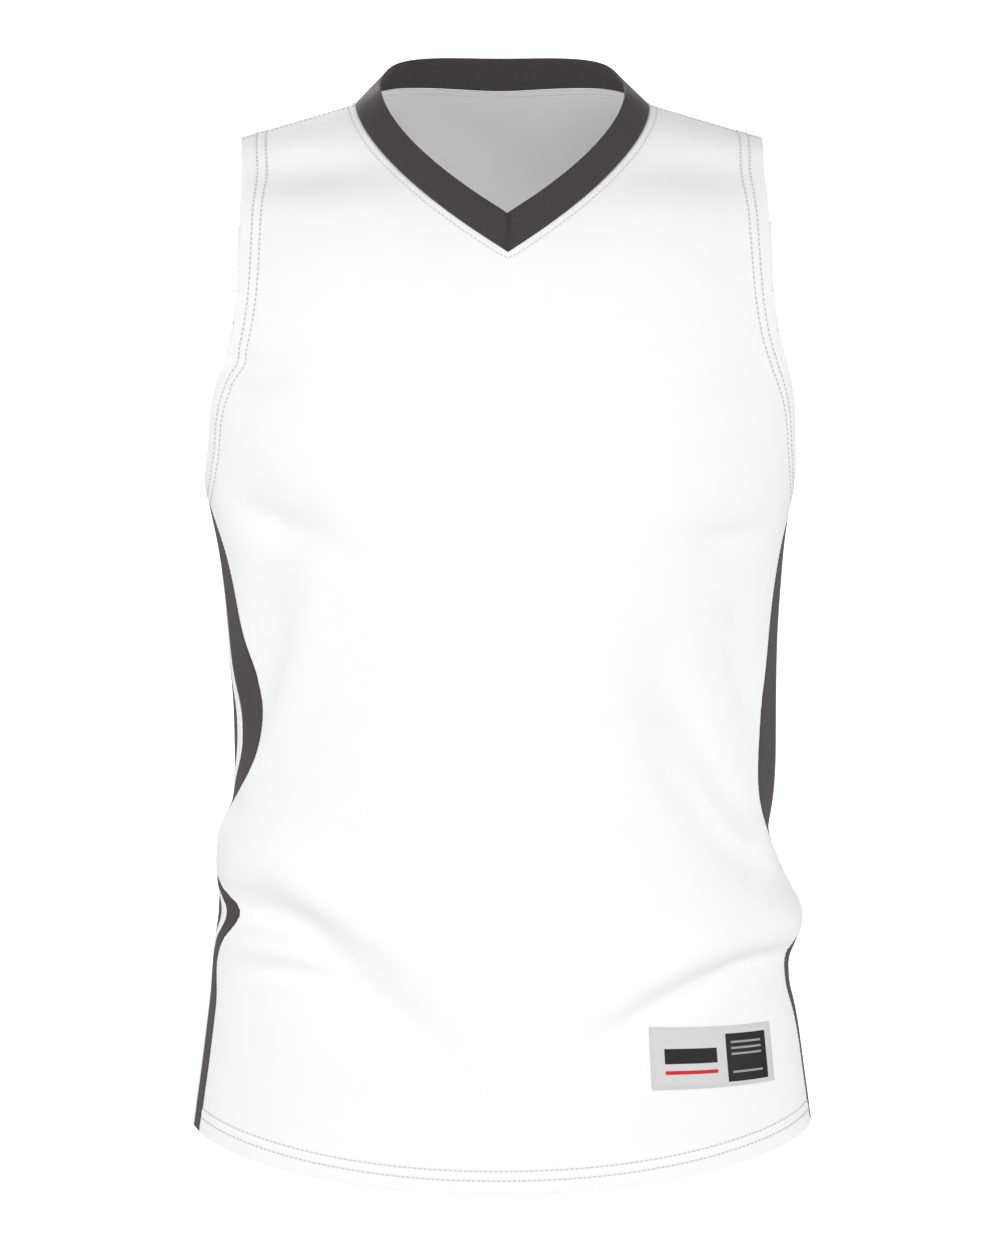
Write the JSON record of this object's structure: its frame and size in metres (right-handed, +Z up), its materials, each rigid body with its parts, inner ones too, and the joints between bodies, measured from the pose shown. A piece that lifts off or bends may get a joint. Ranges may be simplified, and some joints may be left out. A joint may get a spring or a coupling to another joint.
{
  "type": "basketball jersey",
  "caption": "Sleeveless V-neck basketball jersey in white knit with a dark neckband, dark side inserts with a white stripe, and a blank satin hem label, filled out with no wearer.",
  "frame": {"origin": "midway between the two points where the shoulder seams meet the neck seam, where a wearer's shoulders carry it", "axes": "+Z up, -Y towards the front of the garment, +X towards the viewer's right"},
  "size_m": [0.4346, 0.2479, 0.7622],
  "materials": {
    "white_knit": "matt",
    "dark_knit": "matt",
    "dark_rib": "matt",
    "satin_label": "satin"
  },
  "bodies": {
    "root": {"front": "white_knit", "back": "white_knit", "neckband": "dark_rib", "side_left_front": "dark_knit", "side_left_stripe": "white_knit", "side_left_back": "dark_knit", "side_right_front": "dark_knit", "side_right_stripe": "white_knit", "side_right_back": "dark_knit", "label": "satin_label"}
  },
  "joints": []
}
